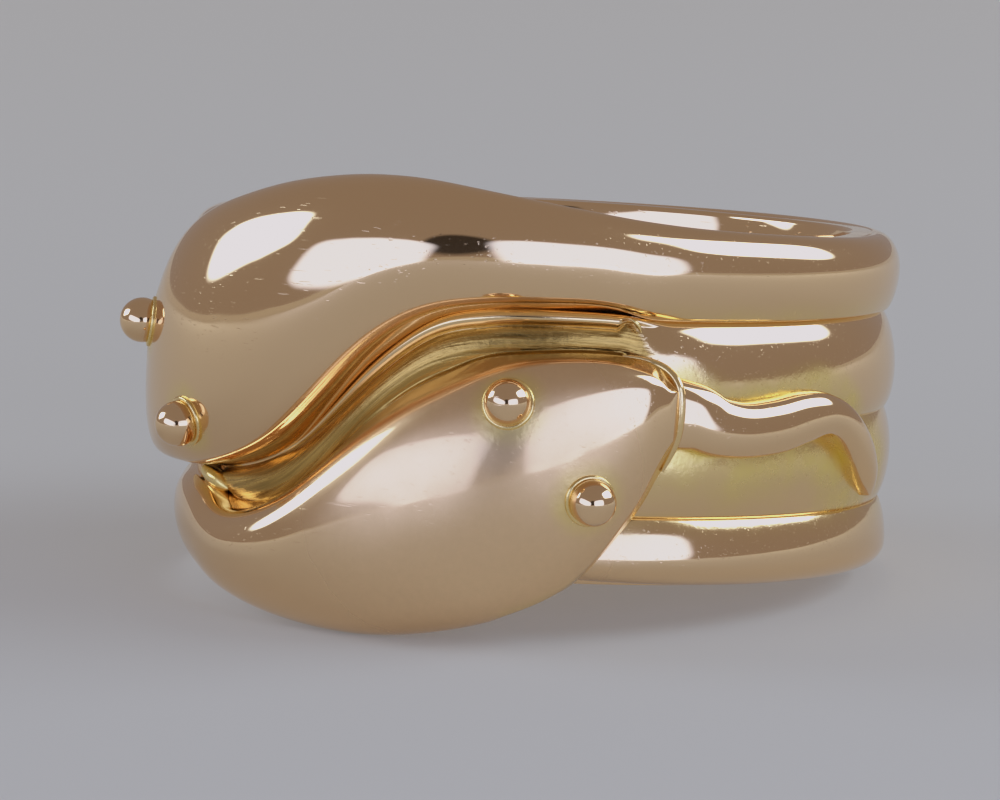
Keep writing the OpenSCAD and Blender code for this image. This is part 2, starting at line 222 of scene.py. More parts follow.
# Corners are eased between these points of a section. All but the first are counted from the edge at the gap
headRounding = {"passes": 5, "domeFrom": 2, "domeTo": -6, "edgeFrom": -8, "edgeTo": 6}
snakeStations = {"snoutStep": 0.2, "headStep": 0.75, "headFrom": 48.0, "rowFrom": -110.0}
eyes = {"radius": 0.69, "stand": 0.27, "sink": 0.05, "points": 34, "sides": 64, "poleTurn": 0.02,
        "steps": (0.5, 0.1), "halo": (0.621, 1.49), "tarnish": 0.9, "tarnishHeights": (0.12, 0.03),
        "places": {"upperEyeFront": (upperTable, -39.6, 1.66), "upperEyeBack": (upperTable, -23.6, -1.02),
                   "lowerEyeFront": (lowerTable, 41.1, -2.18), "lowerEyeBack": (lowerTable, 29.4, 0.58)}}
tarnishAt = {"gap": 0.1, "gapPoints": (-3, 1), "groove": 0.4, "grooveReach": 1.15, "rowEdge": 0.72,
             "snout": 0.6, "snoutRadii": (11.2, 11.9), "strand": 0.25, "besideTail": (1.0, 3.4),
             "strandByTail": (1.0, 1.8)}
rubbedAt = {"angle": 24.0, "height": -2.0, "reach": (3.2, 6.8)}


def tableAt(table, angles):  # each column at the angles, eased less on the snout, where things change quickly
    rows = sorted(table)
    xs = [r[0] for r in rows]
    snout = eased(*headPlaces["snout"], np.abs(angles)) * (np.sign(angles) == np.sign(table[0][0]))
    columns = []
    for ys in list(zip(*rows))[1:]:
        broad = softened(xs, ys, angles, headCurves["soft"])
        fine = softened(xs, ys, angles, headCurves["snoutSoft"])
        columns.append(broad * (1 - snout) + fine * snout)
    return columns


def awayFrom(points, angle, height):  # distance of the points from a spot on the crest of a head
    spot = onRing(np.array([angle]), np.array([headShape["crestRadius"]]), np.array([height]))[0]
    return np.linalg.norm(points - spot, axis=-1)


def headProfile(table, angles, softEdge):  # height and radius round each section
    crown, outZ, outR, tuckZ, edgeZ, edgeR, footZ, slant = [c[:, None] for c in tableAt(table, angles)]
    a = angles[:, None]
    ahead = a * np.sign(table[0][0])
    onRows = eased(*headPlaces["rowsUnder"], ahead)  # the snout lies on the rows, the rest on the band
    away = eased(*headPlaces["neck"], -ahead)  # along the neck and the row that it runs into
    base = ((ringBody["crownRadius"] - headShape["rowSink"]) * onRows
            + (ringBody["bandRadius"] - headShape["bandSink"]) * (1 - onRows))
    share = (headShape["crestShare"] - headShape["neckShare"] * eased(*headPlaces["neckCrest"], -ahead)
             - headShape["backShare"] * eased(*headPlaces["back"], np.abs(a)))
    crestZ = outZ + (edgeZ - outZ) * share
    s = np.radians(slant)
    g = np.radians(headShape["gapSlant"] + (headShape["rowSlant"] - headShape["gapSlant"]) * away)
    edgeR = edgeR + headShape["neckRise"] * away
    # the outer wall: straight on the snout, tucked under elsewhere
    f = np.linspace(0, 1, headPoints["wall"] + 1)[None, :-1]
    turn = np.sin(f * np.pi / 2)
    wallZ = (tuckZ + (outZ - tuckZ) * f) * onRows + (outZ + (tuckZ - outZ) * (1 - turn) ** 2) * (1 - onRows)
    wallR = (base + (outR - base) * f) * onRows + (base + (outR - base) * turn) * (1 - onRows)
    # the dome: up from the outer edge to the crest, then down to the edge at the gap
    p = s + (np.pi / 2 - s) * np.linspace(0, 1, headPoints["outer"] + 1)[None, :-1]
    outerZ = crestZ + (outZ - crestZ) * np.cos(p) / np.cos(s)
    outerR = outR + (crown - outR) * (np.sin(p) - np.sin(s)) / (1 - np.sin(s))
    p = np.pi / 2 - (np.pi / 2 - g) * np.linspace(0, 1, headPoints["inner"])[None, :]
    full = headShape["fullness"] + (1 - headShape["fullness"]) * away
    innerZ = crestZ + (edgeZ - crestZ) * (np.cos(p) / np.cos(g)) ** full
    rise = np.clip((np.sin(p) - np.sin(g)) / (1 - np.sin(g)), 0, 1)
    innerR = edgeR + (crown - edgeR) * rise ** full
    # the flank, which goes down into the gap
    f = np.linspace(0, 1, headPoints["flank"] + 1)[None, 1:]
    floorR = np.maximum(base + headShape["flankSeat"], edgeR - headShape["flankDepth"])
    flankZ = edgeZ + (footZ - edgeZ) * f
    flankR = edgeR + (floorR - edgeR) * f
    endZ = footZ + headShape["footTurn"] * np.sign(outZ - footZ)
    profile = np.stack([np.concatenate([wallZ, outerZ, innerZ, flankZ, endZ], 1),
                        np.concatenate([wallR, outerR, innerR, flankR, base], 1)], -1)
    edge = wallZ.shape[1] + outerZ.shape[1] + innerZ.shape[1]
    profile = rounder(profile, headRounding["passes"], headRounding["domeFrom"],
                      edge + headRounding["domeTo"])
    profile = rounder(profile, softEdge, edge + headRounding["edgeFrom"], edge + headRounding["edgeTo"])
    return profile, edge, edgeZ, onRows, away


def headSections(table, angles, softEdge):
    profile, edge, edgeZ, onRows, away = headProfile(table, angles, softEdge)
    sections = onRing(angles[:, None] + 0 * profile[..., 0], profile[..., 1], profile[..., 0])
    # tarnish gathers on the wall at the gap, in the grooves, round the snout and at the eyes
    first, last = tarnishAt["gapPoints"]
    inGap = np.clip((np.arange(profile.shape[1]) - edge - first) / (last - first), 0, 1)[None]
    fromEdge = np.abs(profile[..., 0] - edgeZ)
    groove = tarnishAt["groove"] * eased(tarnishAt["grooveReach"], 0.0, fromEdge) ** 2 * away
    snoutWall = tarnishAt["snout"] * (1 - eased(*tarnishAt["snoutRadii"], profile[..., 1])) * onRows
    hollow = np.maximum(np.maximum(inGap * tarnishAt["gap"], groove), snoutWall)
    for owner, angle, height in eyes["places"].values():
        if owner is table:
            hollow = np.maximum(hollow, 1 - eased(*eyes["halo"], awayFrom(sections, angle, height)))
    # the front of the lower head rubs most
    rubbed = 1 - eased(*rubbedAt["reach"], awayFrom(sections, rubbedAt["angle"], rubbedAt["height"]))
    return sections, hollow, rubbed


def snakeAngles(tip, far):  # stations: close together on the snout, wider along the neck and the row
    side = math.copysign(1, tip)
    headFrom, rowFrom = snakeStations["headFrom"], snakeStations["rowFrom"]
    snout = np.arange(abs(tip), headFrom, -snakeStations["snoutStep"])
    head = np.arange(headFrom, rowFrom, -snakeStations["headStep"])
    row = np.arange(rowFrom, side * far - pastEnd, -ringBody["rowStep"])
    return side * np.concatenate([snout, head, row])


def snakePiece(name, table, tip, far, softEdge):
    sections, hollow, rubbed = headSections(table, snakeAngles(tip, far), softEdge)
    return loftPiece(name, sections, hollow=hollow, worn=rubbed)


upperSnake = snakePiece("upperSnake", upperTable, -57, 333, softEdge=3)
lowerSnake = snakePiece("lowerSnake", lowerTable, 57, -333, softEdge=2)
print("snakes shaped")

# Course of a tail over the rows. Columns: angle, height, half width, share of the root's height
tailTable = [
    [54.4, 0.33, 1.08, 0.80],
    [55.5, 0.30, 1.06, 0.83],
    [58.4, 0.22, 1.00, 0.89],
    [61.2, -0.03, 0.93, 0.93],
    [66.4, -0.15, 0.86, 0.98],
    [72.2, -0.05, 0.85, 0.98],
    [77.5, 0.16, 0.80, 0.94],
    [82.0, 0.26, 0.70, 0.90],
    [85.6, 0.15, 0.62, 0.86],
    [89.4, -0.21, 0.61, 0.83],
    [93.6, -0.89, 0.64, 0.80],
    [96.6, -1.50, 0.60, 0.72],
    [98.8, -2.00, 0.44, 0.55],
    [100.3, -2.40, 0.12, 0.25],
]
tailShape = {"rise": 0.85, "sink": 0.25, "soft": 0.9, "flatness": 0.36, "tilt": 0.07, "stations": 150,
             "points": 49, "passes": 4, "rounded": (3, 46), "foot": (0.06, 0.35), "unbuffed": (56, 99, 60)}
otherSide = np.array([-1, 1, -1])  # half a turn about the front takes one snake's places to the other's


def tailPath(angles):
    columns = list(zip(*tailTable))
    height, half, share = [softened(columns[0], c, angles, tailShape["soft"]) for c in columns[1:]]
    return onRing(angles, ringBody["crownRadius"] - tailShape["sink"] + 0 * angles, height), half, share


def besideTail(points, reach):  # round the tails the buff can't reach, so solder and tarnish stay
    path = tailPath(np.linspace(*tailShape["unbuffed"]))[0]
    apart = [np.linalg.norm(p[..., None, :] - path, axis=-1).min(-1) for p in (points, points * otherSide)]
    return 1 - eased(*reach, np.minimum(*apart))


def rowRadius(z, low, high, lean):  # a broad crown whose edges turn down into the grooves
    up = z - (low + high) / 2
    u = np.abs(up / ((high - low) / 2))
    fall = sum(share * u ** power for share, power in ringBody["crownCurve"])
    return ringBody["crownRadius"] - ringBody["grooveDepth"] * fall - lean * up


def rowTarnish(t):  # t runs from -1 at one edge of a row to 1 at the other
    return tarnishAt["groove"] * eased(tarnishAt["rowEdge"], 1.0, np.abs(t))[None]


rowShape = {"from": 29.5, "to": 330.5, "points": 41, "overlap": 1.04}  # its edges run under its neighbours


def rowPiece(name, low, high):
    angles = np.arange(rowShape["from"], rowShape["to"] + pastEnd, ringBody["rowStep"])
    t = np.sin(np.linspace(-1, 1, rowShape["points"]) * np.pi / 2)
    z = (low + high) / 2 + (high - low) / 2 * rowShape["overlap"] * t
    z = np.concatenate([z, [z[-1], z[0]]])[None] + 0 * angles[:, None]
    lean = -ringBody["rowLean"] * eased(*headPlaces["back"], angles)[:, None]
    radius = rowRadius(z, low, high, lean)
    radius[:, -2:] = ringBody["hiddenRadius"]
    sections = onRing(angles[:, None] + 0 * z, radius, z)
    hollow = np.maximum(rowTarnish(np.append(t, [1, 1])), besideTail(sections, tarnishAt["besideTail"]))
    return loftPiece(name, sections, hollow=hollow)


grooveTop, grooveMiddle, grooveLow = ringBody["grooveHeights"]
thirdRow = rowPiece("thirdRow", grooveLow, grooveMiddle)

# The strand between the heads. A thin bright ledge runs along its upper side and a broad satin strip below
# it, parted by a crease. Its right end widens into the second row
strand = {"left": -33, "fine": 64, "end": 330.5, "fineStep": 0.5, "lap": 0.05, "crease": 0.03,
          "ledge": 0.5, "ledgeShare": 0.34, "ledgeThinning": 0.75, "ledgeRise": 0.2, "ledgeBulge": 1.3,
          "ledgeRound": 0.7, "ledgeSeat": 10.56, "ledgeLap": 0.04, "ledgePoints": 16, "stripRise": 0.28,
          "stripFlattening": 0.6, "stripRound": 0.6, "stripSeat": 10.48, "stripTilt": 0.06, "stripPoints": 39,
          "fillet": 0.22, "filletWidth": 0.16, "creaseAt": -0.7, "satinSlant": 8}
# Angles between which it changes
strandPlaces = {"toRow": (46, 55), "ledgeStarts": (-16, 8), "ledgeThins": (44.5, 47.5), "flattens": (12, 32),
                "filletStarts": (0, 15), "leans": (110, 180), "satinEnds": (43, 51), "clean": (44, 58)}
streakSize = {"length": 2.02, "width": 0.111, "depth": 0.25}  # of the brush marks, in millimetres


def strandEdges(a):  # from the feet of the heads over to the grooves beside the second row
    toRow = eased(*strandPlaces["toRow"], a)
    upperFoot, lowerFoot = [tableAt(table, a[:, 0])[6][:, None] for table in (upperTable, lowerTable)]
    high = upperFoot * (1 - toRow) + (grooveTop + strand["lap"]) * toRow
    low = lowerFoot * (1 - toRow) + (grooveMiddle - strand["lap"]) * toRow
    return high, low, toRow


def strandProfile(a, high, low, toRow):  # heights and radii of the ledge, the strip and the hidden inside
    thinned = 1 - strand["ledgeThinning"] * eased(*strandPlaces["ledgeThins"], a)
    ledge = strand["ledge"] * eased(*strandPlaces["ledgeStarts"], a) * thinned
    ledge = np.minimum(ledge, strand["ledgeShare"] * (high - low))
    crease = high - ledge - strand["crease"]
    f = np.linspace(0, 1, strand["ledgePoints"])[None, :]
    bead = np.sin(np.pi * f) ** strand["ledgeRound"] * strand["ledgeRise"] * ledge / strand["ledge"]
    ledgeZ = high + strand["ledgeLap"] + (crease - high - strand["ledgeLap"]) * f
    ledgeR = strand["ledgeSeat"] + strand["ledgeBulge"] * bead - strand["crease"] * f
    f = np.linspace(0, 1, strand["stripPoints"] + 1)[None, 1:]
    stripZ = crease + (low - strand["lap"] - crease) * f
    rise = strand["stripRise"] * (1 - strand["stripFlattening"] * eased(*strandPlaces["flattens"], a))
    stripR = strand["stripSeat"] + rise * np.sin(np.pi * f) ** strand["stripRound"] + strand["stripTilt"] * f
    fillet = strand["fillet"] * eased(1 - strand["filletWidth"], 1.0, f)
    stripR = stripR + fillet * eased(*strandPlaces["filletStarts"], a)
    lean = ringBody["rowLean"] * (1 - eased(*strandPlaces["leans"], a))
    ledgeR = ledgeR * (1 - toRow) + rowRadius(ledgeZ, grooveMiddle, grooveTop, lean) * toRow
    stripR = stripR * (1 - toRow) + rowRadius(stripZ, grooveMiddle, grooveTop, lean) * toRow
    under = ringBody["hiddenRadius"] + 0 * a
    return np.concatenate([ledgeZ, stripZ, low, high], 1), np.concatenate([ledgeR, stripR, under, under], 1)


def strandSections():
    angles = np.concatenate([np.arange(strand["left"], strand["fine"], strand["fineStep"]),
                             np.arange(strand["fine"], strand["end"] + pastEnd, ringBody["rowStep"])])
    a = angles[:, None]
    high, low, toRow = strandEdges(a)
    z, r = strandProfile(a, high, low, toRow)
    sections = onRing(a + 0 * z, r, z)
    # only the strip is satin, down to the first hidden point, and it ends on a slant by the lower snout
    depth = np.clip((high - z) / (high - low), 0, 1)
    below = np.zeros(z.shape[1])
    below[strand["ledgePoints"]:-1] = 1
    onStrip = below * (1 - eased(*strandPlaces["satinEnds"], a - strand["satinSlant"] * depth))
    t = np.concatenate([np.linspace(-1, strand["creaseAt"], strand["ledgePoints"]),
                        np.linspace(strand["creaseAt"], 1, strand["stripPoints"]), [1, 1]])
    toned = tarnishAt["strand"] + (1 - tarnishAt["strand"]) * onStrip
    hollow = np.maximum(rowTarnish(t), (1 - eased(*strandPlaces["clean"], a)) * toned)
    hollow = np.maximum(hollow, besideTail(sections, tarnishAt["strandByTail"]))
    along = a * ringBody["mmPerDegree"] / streakSize["length"]
    grain = np.stack([along + 0 * z, (z - high) / streakSize["width"], r / streakSize["depth"]], -1)
    return sections, onStrip, hollow, grain


sections, onStrip, hollow, grain = strandSections()
middleStrand = loftPiece("middleStrand", sections, satin=onStrip, hollow=hollow, grain=grain)

# The inside of the ring, with its edges rounded
innerShape = {"bore": 9.1, "outside": 10.12, "rimTop": 5.35, "rimBottom": -4.95, "edgeRound": 0.15,
              "comfort": 0.28, "comfortCurve": 2.3, "firstTurn": 0.25, "corner": (0.06, 0.08),
              "insidePoints": 41, "cornerPoints": 12, "stations": 241,
              "backDip": 0.22, "dipFrom": (110, 180), "dipTo": (335, 360), "dipHeights": (3, 5)}


def bandPiece():
    edge, outside, first = innerShape["edgeRound"], innerShape["outside"], innerShape["firstTurn"]
    low, high = innerShape["rimBottom"], innerShape["rimTop"]
    inside = np.linspace(low + edge, high - edge, innerShape["insidePoints"])
    fromMiddle = np.abs((inside - (low + high) / 2) / ((high - low) / 2 - edge))
    flare = innerShape["bore"] + innerShape["comfort"] * fromMiddle ** innerShape["comfortCurve"]
    corner = np.linspace(first, np.pi / 2, innerShape["cornerPoints"])
    turned = flare[-1] + edge * (math.cos(first) - np.cos(corner)) / math.cos(first)
    rise = edge * (np.sin(corner) - math.sin(first)) / (1 - math.sin(first))
    across, down = innerShape["corner"]
    z = np.concatenate([high - edge + rise, [high, high - down, low + down, low], (low + edge - rise)[::-1],
                        inside[1:-1]])
    r = np.concatenate([turned, [outside - across, outside, outside, outside - across], turned[::-1],
                        flare[1:-1]])
    angles = np.linspace(0, 360, innerShape["stations"])
    back = eased(*innerShape["dipFrom"], angles) * (1 - eased(*innerShape["dipTo"], angles))
    dip = innerShape["backDip"] * back[:, None] * eased(*innerShape["dipHeights"], z)[None]
    sections = onRing(angles[:, None] + 0 * z[None], r[None] + 0 * angles[:, None], z[None] - dip)
    return loftPiece("innerBand", sections, closed=False, hollow=0.0)


innerBand = bandPiece()
print("rows and band shaped")


def tailSections():
    angles = np.linspace(tailTable[0][0], tailTable[-1][0], tailShape["stations"])
    path, half, share = tailPath(angles)
    out = onRing(angles, 1 + 0 * angles, 0 * angles)
    across = unit(np.cross(out, unit(np.gradient(path, axis=0))))
    f = np.linspace(0, np.pi, tailShape["points"])[None, :, None]
    rise = (tailShape["rise"] * share + tailShape["sink"])[:, None, None]
    up = np.sign(across[:1, None, 2:3])  # the flat top tips upwards a little
    lift = np.sin(f) ** tailShape["flatness"] * (1 - tailShape["tilt"] * up * np.cos(f))
    points = path[:, None] + across[:, None] * half[:, None, None] * np.cos(f) + out[:, None] * rise * lift
    points = rounder(points, tailShape["passes"], *tailShape["rounded"])
    return points, 1 - eased(*tailShape["foot"], np.sin(f[..., 0]))


sections, hollow = tailSections()
upperTail = loftPiece("upperTail", sections, hollow=hollow)
lowerTail = loftPiece("lowerTail", sections * otherSide, hollow=hollow)

# Half the outline of an eye's collar, where the ball meets the head. Columns: distance from the eye's axis
# and height
eyeCollar = [[0.615, 0.03], [0.65, 0.045], [0.70, 0.05], [0.755, 0.035], [0.78, 0.0], [0.775, -0.05],
             [0.74, -0.12], [0.74, -0.4]]


def domePoint(table, angle, height):
    columns = tableAt(table, np.array([float(angle)]))
    crown, outZ, outR, tuckZ, edgeZ, edgeR, footZ, slant = [c[0] for c in columns]
    crestZ = outZ + (edgeZ - outZ) * headShape["crestShare"]
    if (height - crestZ) * (outZ - crestZ) > 0:
        sideZ, sideR, s, full = outZ, outR, math.radians(slant), 1
    else:
        sideZ, sideR, s, full = edgeZ, edgeR, math.radians(headShape["gapSlant"]), headShape["fullness"]
    c = ((height - crestZ) / (sideZ - crestZ)) ** (1 / full) * math.cos(s)
    rise = (math.sqrt(max(0, 1 - c * c)) - math.sin(s)) / (1 - math.sin(s))
    radius = sideR + (crown - sideR) * rise ** full
    return onRing(np.array([angle]), np.array([radius]), np.array([height]))[0]


def eyePiece(name, table, angle, height):
    here = domePoint(table, angle, height)
    turnStep, riseStep = eyes["steps"]
    along = unit(domePoint(table, angle + turnStep, height) - domePoint(table, angle - turnStep, height))
    up = domePoint(table, angle, height + riseStep) - domePoint(table, angle, height - riseStep)
    out = unit(np.cross(along, up))
    across = np.cross(out, along)
    ball, stand = eyes["radius"], eyes["stand"]
    lastTurn = math.pi / 2 + math.asin((stand - eyes["sink"]) / ball)
    t = np.linspace(eyes["poleTurn"], lastTurn, eyes["points"])
    collarOut, collarRise = zip(*eyeCollar)
    fromAxis = np.concatenate([ball * np.sin(t), collarOut])
    rise = np.concatenate([stand + ball * np.cos(t), collarRise])
    turn = np.linspace(0, 2 * math.pi, eyes["sides"] + 1)[:-1]
    ring = np.cos(turn)[:, None] * along + np.sin(turn)[:, None] * across
    sections = here + fromAxis[:, None, None] * ring[None] + rise[:, None, None] * out
    return loftPiece(name, sections, hollow=eased(*eyes["tarnishHeights"], rise)[:, None] * eyes["tarnish"])


eyePieces = {name: eyePiece(name, *place) for name, place in eyes["places"].items()}

# Beads of solder. Columns: angle, height, radius of the bead, radius round the ring.
# One goes round the edge of each snout, up over the root of the tail
collarPath = [
    [46.0, 1.98, 0.05, 10.99],
    [49.0, 1.92, 0.10, 10.99],
    [51.5, 1.80, 0.12, 11.10],
    [53.2, 1.62, 0.13, 11.35],
    [54.2, 1.30, 0.14, 11.60],
    [54.6, 0.80, 0.14, 11.66],
    [54.6, 0.20, 0.14, 11.66],
    [54.4, -0.40, 0.13, 11.60],
    [53.9, -0.85, 0.11, 11.40],
    [53.0, -1.40, 0.05, 11.20],
]
# The ledge of the strand ends in a small worn knob
knobPath = [
    [47.2, 3.10, 0.03, 10.82],
    [47.8, 3.06, 0.10, 10.82],
    [48.6, 2.98, 0.14, 10.82],
    [49.1, 2.84, 0.11, 10.82],
    [49.2, 2.70, 0.03, 10.82],
]
# A lump closes the left end of the gap
lumpPath = [
    [-37.0, -2.74, 0.05, 10.80],
    [-35.0, -2.78, 0.24, 10.82],
    [-33.2, -2.84, 0.22, 10.84],
    [-31.4, -2.90, 0.34, 10.80],
    [-29.6, -3.02, 0.26, 10.78],
    [-28.4, -3.12, 0.30, 10.72],
    [-27.0, -3.20, 0.05, 10.70],
]
beadShape = {"stations": 90, "sides": 14, "soft": 0.25, "least": 0.02}


def beadPiece(name, path, hollow, turned=False):  # a thin round wire of gold laid along a path
    columns = [np.array(c, float) for c in zip(*path)]
    steps = np.hypot(np.diff(columns[0]) * ringBody["mmPerDegree"], np.diff(columns[1]))
    length = np.concatenate([[0], np.cumsum(steps)])
    at = np.linspace(0, length[-1], beadShape["stations"])
    angle, height, radius, seat = [softened(length, c, at, beadShape["soft"]) for c in columns]
    centre = onRing(angle, seat, height)
    out = onRing(angle, 1 + 0 * angle, 0 * angle)
    across = unit(np.cross(out, unit(np.gradient(centre, axis=0))))
    t = np.linspace(0, 2 * np.pi, beadShape["sides"] + 1)[None, :-1, None]
    radius = np.maximum(radius, beadShape["least"])[:, None, None]
    points = centre[:, None] + radius * (np.cos(t) * across[:, None] + np.sin(t) * out[:, None])
    return loftPiece(name, points * otherSide if turned else points, hollow=hollow)


lowerCollar = beadPiece("lowerCollar", collarPath, 0.5)
upperCollar = beadPiece("upperCollar", collarPath, 0.5, turned=True)
ledgeEnd = beadPiece("ledgeEnd", knobPath, 1.0)
gapEnd = beadPiece("gapEnd", lumpPath, 1.0)
print("tails, eyes and beads shaped")


def srgb(code):  # sRGB hex to linear
    channels = [int(code[i:i + 2], 16) / 255 for i in (1, 3, 5)]
    return tuple(c / 12.92 if c <= 0.04045 else ((c + 0.055) / 1.055) ** 2.4 for c in channels) + (1.0,)


def addNode(tree, kind, settings=None, links=None):
    node = tree.nodes.new(kind)
    for key, value in (settings or {}).items():
        if isinstance(key, int) or key in node.inputs:
            node.inputs[key].default_value = value
        else:
            setattr(node, key, value)
    for key, socket in (links or {}).items():
        tree.links.new(socket, node.inputs[key])
    return node


def newMaterial(name):
    material = bpy.data.materials.new(name)
    material.use_nodes = True
    material.node_tree.nodes.clear()
    return material, material.node_tree


# Sizes of the patterns are in millimetres, depths of the relief in metres. A pair is the least and the most
goldFinish = {"rose": "#F2CEA0", "recess": "#F6DC84", "polish": (0.025, 0.08), "haze": 0.32,
              "tarnishRough": 0.32, "tarnished": (0.35, 1.0), "smudge": 1.43, "wave": 2.86, "grit": 0.2,
              "waveDepth": 0.000012, "gritDepth": 0.000012}
scratches = {"size": 0.625, "turns": ((0.3, 0.9, 0.5), (1.2, 0.2, 2.1), (2.2, 1.1, 0.7)),
             "stretch": (0.35, 6, 6), "shown": (0.72, 0.75), "rough": 0.12, "depth": 0.0000015,
             "strength": 0.5}
hazeShare = {"least": 0.02, "rubbed": 0.45, "patchy": 0.35}
brushing = {"colour": "#C9A25A", "tones": (0.62, 1.12), "rough": (0.18, 0.32), "depth": 0.00002,
            "ragged": 0.6, "edge": (0.35, 0.6)}


def scratchLines(tree, mm):  # hairlines in three directions, drawn about 0.03 mm wide so that they show
    low, high = scratches["shown"]
    lines = None
    for turn in scratches["turns"]:
        turned = addNode(tree, "ShaderNodeMapping", {"Rotation": turn, "Scale": scratches["stretch"]},
                         {"Vector": mm}).outputs[0]
        fine = addNode(tree, "ShaderNodeTexNoise", {"Scale": 1 / scratches["size"], "Detail": 1.0},
                       {"Vector": turned}).outputs["Fac"]
        line = addNode(tree, "ShaderNodeMapRange", {"From Min": low, "From Max": high},
                       {"Value": fine}).outputs[0]
        if lines is None:
            lines = line
        else:
            lines = addNode(tree, "ShaderNodeMath", {"operation": "MAXIMUM"}, {0: lines, 1: line}).outputs[0]
    return lines


# The strand is brushed along its length: fine streaks, yellower, that fade out on a ragged slant
def brushedOver(tree, colour, rough, relief):
    grain = addNode(tree, "ShaderNodeAttribute", {"attribute_name": "grain"}).outputs["Vector"]
    satin = addNode(tree, "ShaderNodeAttribute", {"attribute_name": "satin"}).outputs["Fac"]
    streak = addNode(tree, "ShaderNodeTexNoise", {"Scale": 1.0, "Detail": 4.0},
                     {"Vector": grain}).outputs["Fac"]
    spread = {"From Min": 0.3, "From Max": 0.7}
    low, high = brushing["tones"]
    tone = addNode(tree, "ShaderNodeMapRange", {**spread, "To Min": low, "To Max": high},
                   {"Value": streak}).outputs[0]
    yellow = addNode(tree, "ShaderNodeMix",
                     {"data_type": "RGBA", "blend_type": "MULTIPLY", 0: 1.0, 6: srgb(brushing["colour"])},
                     {7: tone}).outputs[2]
    ragged = addNode(tree, "ShaderNodeMath",
                     {"operation": "MULTIPLY_ADD", 1: brushing["ragged"], 2: -brushing["ragged"] / 2},
                     {0: streak}).outputs[0]
    edge = addNode(tree, "ShaderNodeMath", {"operation": "ADD"}, {0: satin, 1: ragged}).outputs[0]
    low, high = brushing["edge"]
    here = addNode(tree, "ShaderNodeMapRange", {"From Min": low, "From Max": high},
                   {"Value": edge}).outputs[0]
    colour = addNode(tree, "ShaderNodeMix", {"data_type": "RGBA"}, {0: here, 6: colour, 7: yellow}).outputs[2]
    low, high = brushing["rough"]
    brush = addNode(tree, "ShaderNodeMapRange", {**spread, "To Min": low, "To Max": high},
                    {"Value": streak}).outputs[0]
    rough = addNode(tree, "ShaderNodeMix", {"data_type": "FLOAT"}, {0: here, 2: rough, 3: brush}).outputs[0]
    depth = addNode(tree, "ShaderNodeMath", {"operation": "MULTIPLY"}, {0: streak, 1: here}).outputs[0]
    relief = addNode(tree, "ShaderNodeBump", {"Strength": 1.0, "Distance": brushing["depth"]},
                     {"Height": depth, "Normal": relief}).outputs[0]
    return colour, rough, relief


